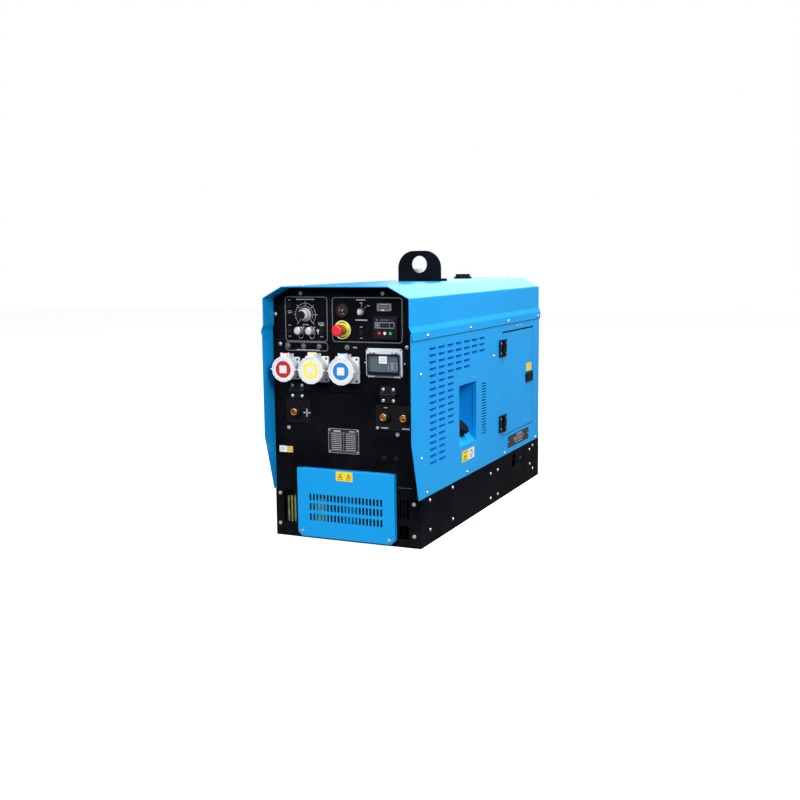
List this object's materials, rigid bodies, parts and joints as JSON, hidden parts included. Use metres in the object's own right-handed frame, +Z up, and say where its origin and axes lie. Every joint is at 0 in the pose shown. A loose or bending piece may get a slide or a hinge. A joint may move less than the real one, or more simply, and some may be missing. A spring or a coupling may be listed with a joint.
{
  "type": "engine driven welder",
  "caption": "Enclosed diesel engine driven welder: louvered casing on a skid base, hinged control panel with power sockets, welding sockets, side service door and roof lifting eye.",
  "frame": {"origin": "middle of the base's flat underside, on the ground", "axes": "+X to the right and +Y to the back seen from the control panel, +Z up"},
  "size_m": [0.5722, 1.419, 0.987],
  "materials": {
    "blue_paint": "gloss",
    "black_paint": "satin",
    "hinge_black": "satin",
    "zinc_steel": "satin",
    "black_plastic": "matte",
    "neck_rubber": "matte",
    "brass": "satin",
    "nickel": "polished",
    "white_plastic": "gloss",
    "grey_plastic": "satin",
    "smoked_window": "gloss",
    "red_plastic": "gloss",
    "green_plastic": "gloss",
    "engine_iron": "satin",
    "machined_steel": "satin",
    "housing_aluminium": "satin",
    "coil_copper": "satin"
  },
  "bodies": {
    "root": {"base_frame": "black_paint", "rubber_mounts": "neck_rubber", "fuel_tank": "black_plastic", "filler_neck": "neck_rubber", "lower_front_panel": "black_paint", "grille_cover": "blue_paint", "right_side_panel": "blue_paint", "filler_niche": "blue_paint", "left_side_panel": "blue_paint", "roof_cover": "blue_paint", "rear_panel": "blue_paint", "lifting_eye": "black_paint", "weld_socket_plates": "black_plastic", "weld_socket_inserts": "brass", "fixed_hinge_leaves": "hinge_black", "casing_screws": "zinc_steel", "engine_block": "engine_iron", "muffler": "machined_steel", "air_filter": "black_plastic", "alternator_housing": "housing_aluminium", "radiator": "housing_aluminium", "battery": "black_plastic", "weld_reactor": "coil_copper", "rectifier_box": "machined_steel"},
    "crank_train": {"crankshaft": "machined_steel", "alternator_rotor": "machined_steel"},
    "fan": {"cooling_fan": "black_plastic"},
    "filler_cap": {"fuel_cap": "black_plastic"},
    "roof_access_cap": {"roof_cap": "black_plastic"},
    "door": {"side_door": "blue_paint", "door_fittings": "hinge_black"},
    "latch": {"latch_paddle": "black_plastic"},
    "front_panel": {"control_panel": "black_paint", "panel_hardware": "hinge_black", "instrument_bodies": "black_plastic", "remote_sockets": "nickel", "socket_bases": "white_plastic", "breaker_unit": "grey_plastic", "left_cap_chain": "nickel", "right_cap_chain": "nickel"},
    "dial": {"current_knob": "black_plastic"},
    "key": {"key_rotor": "nickel"},
    "estop": {"estop_button": "red_plastic"},
    "flap": {"breaker_window": "smoked_window"},
    "lever": {"breaker_lever": "grey_plastic"},
    "left_cap": {"left_remote_cap": "nickel"},
    "right_cap": {"right_remote_cap": "nickel"},
    "red_lid": {"red_socket_lid": "white_plastic"},
    "red_ring": {"red_lid_ring": "white_plastic"},
    "yellow_lid": {"yellow_socket_lid": "white_plastic"},
    "yellow_ring": {"yellow_lid_ring": "white_plastic"},
    "blue_lid": {"blue_socket_lid": "white_plastic"},
    "blue_ring": {"blue_lid_ring": "white_plastic"},
    "mode_rocker": {"mode_rocker": "black_plastic"},
    "remote_rocker": {"remote_rocker": "black_plastic"},
    "range_rocker": {"range_rocker": "black_plastic"},
    "idle_rocker": {"idle_rocker": "black_plastic"},
    "red_key": {"red_button": "red_plastic"},
    "white_key": {"white_button": "white_plastic"},
    "green_key": {"green_button": "green_plastic"}
  },
  "joints": [
    {"name": "front_panel_hinge", "type": "hinge", "parent": "root", "child": "front_panel", "pos_m": [0, -0.6767, 0.513], "axis": [1, 0, 0], "range_deg": [0, 80]},
    {"name": "door_hinge", "type": "hinge", "parent": "root", "child": "door", "pos_m": [0.284, 0.17, 0.45], "axis": [0, 0, -1], "range_deg": [0, 110]},
    {"name": "latch_pull", "type": "hinge", "parent": "door", "child": "latch", "pos_m": [0.272, 0.492, 0.4535], "axis": [0, 0, -1], "range_deg": [0, 35], "stiffness_Nm_per_rad": 0.1},
    {"name": "dial_turn", "type": "hinge", "parent": "front_panel", "child": "dial", "pos_m": [-0.143, -0.671, 0.773], "axis": [0, -1, 0], "range_deg": [-135, 135]},
    {"name": "key_turn", "type": "hinge", "parent": "front_panel", "child": "key", "pos_m": [0.0674, -0.671, 0.785], "axis": [0, -1, 0], "range_deg": [0, 90]},
    {"name": "estop_push", "type": "slide", "parent": "front_panel", "child": "estop", "axis": [0, 1, 0], "range_m": [0, 0.006]},
    {"name": "flap_hinge", "type": "hinge", "parent": "front_panel", "child": "flap", "pos_m": [0.151, -0.685, 0.652], "axis": [-1, 0, 0], "range_deg": [0, 110]},
    {"name": "lever_throw", "type": "hinge", "parent": "front_panel", "child": "lever", "pos_m": [0.175, -0.6665, 0.606], "axis": [1, 0, 0], "range_deg": [-45, 0]},
    {"name": "left_cap_turn", "type": "hinge", "parent": "front_panel", "child": "left_cap", "pos_m": [-0.1595, -0.671, 0.72], "axis": [0, -1, 0], "continuous": true},
    {"name": "right_cap_turn", "type": "hinge", "parent": "front_panel", "child": "right_cap", "pos_m": [-0.117, -0.671, 0.72], "axis": [0, -1, 0], "continuous": true},
    {"name": "filler_cap_turn", "type": "hinge", "parent": "root", "child": "filler_cap", "pos_m": [0.246, -0.212, 0.345], "axis": [0.7071, 0, 0.7071], "continuous": true},
    {"name": "roof_cap_lift", "type": "slide", "parent": "root", "child": "roof_access_cap", "axis": [0, 0, 1], "range_m": [0, 0.04]},
    {"name": "crank_spin", "type": "hinge", "parent": "root", "child": "crank_train", "pos_m": [0, 0, 0.37], "axis": [0, -1, 0], "continuous": true},
    {"name": "fan_spin", "type": "hinge", "parent": "root", "child": "fan", "pos_m": [0, 0.45, 0.52], "axis": [0, -1, 0], "continuous": true},
    {"name": "red_lid_hinge", "type": "hinge", "parent": "front_panel", "child": "red_lid", "pos_m": [-0.204, -0.708, 0.6415], "axis": [-1, 0, 0], "range_deg": [0, 115]},
    {"name": "red_ring_turn", "type": "hinge", "parent": "red_lid", "child": "red_ring", "pos_m": [-0.204, -0.716, 0.5905], "axis": [0, -1, 0], "range_deg": [0, 30]},
    {"name": "yellow_lid_hinge", "type": "hinge", "parent": "front_panel", "child": "yellow_lid", "pos_m": [-0.099, -0.708, 0.645], "axis": [-1, 0, 0], "range_deg": [0, 115]},
    {"name": "yellow_ring_turn", "type": "hinge", "parent": "yellow_lid", "child": "yellow_ring", "pos_m": [-0.099, -0.716, 0.5905], "axis": [0, -1, 0], "range_deg": [0, 30]},
    {"name": "blue_lid_hinge", "type": "hinge", "parent": "front_panel", "child": "blue_lid", "pos_m": [0.0145, -0.708, 0.645], "axis": [-1, 0, 0], "range_deg": [0, 115]},
    {"name": "blue_ring_turn", "type": "hinge", "parent": "blue_lid", "child": "blue_ring", "pos_m": [0.0145, -0.716, 0.5905], "axis": [0, -1, 0], "range_deg": [0, 30]},
    {"name": "mode_rocker_tilt", "type": "hinge", "parent": "front_panel", "child": "mode_rocker", "pos_m": [-0.204, -0.6695, 0.804], "axis": [1, 0, 0], "range_deg": [0, 18]},
    {"name": "remote_rocker_tilt", "type": "hinge", "parent": "front_panel", "child": "remote_rocker", "pos_m": [-0.205, -0.6695, 0.718], "axis": [1, 0, 0], "range_deg": [0, 18]},
    {"name": "range_rocker_tilt", "type": "hinge", "parent": "front_panel", "child": "range_rocker", "pos_m": [-0.082, -0.6695, 0.718], "axis": [1, 0, 0], "range_deg": [0, 18]},
    {"name": "idle_rocker_tilt", "type": "hinge", "parent": "front_panel", "child": "idle_rocker", "pos_m": [0.066, -0.6695, 0.716], "axis": [1, 0, 0], "range_deg": [0, 18]},
    {"name": "red_button_press", "type": "slide", "parent": "front_panel", "child": "red_key", "axis": [0, 1, 0], "range_m": [0, 0.001], "stiffness_N_per_m": 300},
    {"name": "white_button_press", "type": "slide", "parent": "front_panel", "child": "white_key", "axis": [0, 1, 0], "range_m": [0, 0.001], "stiffness_N_per_m": 300},
    {"name": "green_button_press", "type": "slide", "parent": "front_panel", "child": "green_key", "axis": [0, 1, 0], "range_m": [0, 0.001], "stiffness_N_per_m": 300}
  ],
  "couplings": [
    {"joint": "fan_spin", "follows": "crank_spin", "ratio": 1.2}
  ]
}
